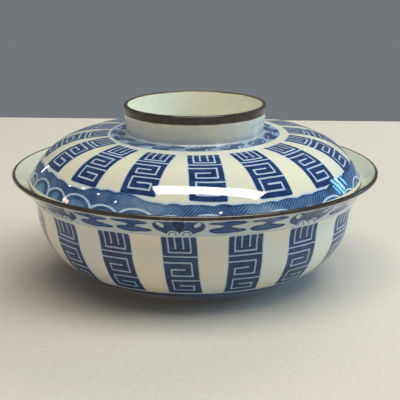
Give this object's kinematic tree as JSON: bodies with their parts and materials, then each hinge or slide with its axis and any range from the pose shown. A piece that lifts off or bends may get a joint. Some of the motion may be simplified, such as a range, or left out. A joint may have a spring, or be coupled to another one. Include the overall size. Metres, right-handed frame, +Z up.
{
  "type": "donburi bowl with lid",
  "caption": "Flared porcelain bowl on a low foot ring, with a domed lift-off lid that sits inside the lip and has a ring grip; blue panels on white, brown lips.",
  "frame": {"origin": "centre of the foot ring's contact face, which is the bottom centre of the whole object", "axes": "+Z up along the axis that bowl and lid share; the object is a body of revolution, so +X and +Y only set the painted panels"},
  "size_m": [0.19, 0.19, 0.0905],
  "materials": {
    "bowl_porcelain": "clear glossy glaze over white porcelain with underglaze blue panels",
    "foot_porcelain": "clear glaze, wiped bare on the contact face",
    "rim_brown_glaze": "dark brown iron glaze, satin",
    "lid_porcelain": "clear glossy glaze over white porcelain with underglaze blue panels and waves",
    "grip_porcelain": "clear glossy glaze over white porcelain",
    "grip_brown_glaze": "dark brown iron glaze, satin"
  },
  "bodies": {
    "bowl": {"bowl_body": "bowl_porcelain", "bowl_foot_ring": "foot_porcelain", "bowl_rim_glaze": "rim_brown_glaze"},
    "lid": {"lid_dome": "lid_porcelain", "lid_grip_ring": "grip_porcelain", "lid_grip_glaze": "grip_brown_glaze"}
  },
  "joints": [
    {"name": "lid_lift", "type": "slide", "parent": "bowl", "child": "lid", "axis": [0, 0, 1], "range_m": [0, 0.08]}
  ]
}
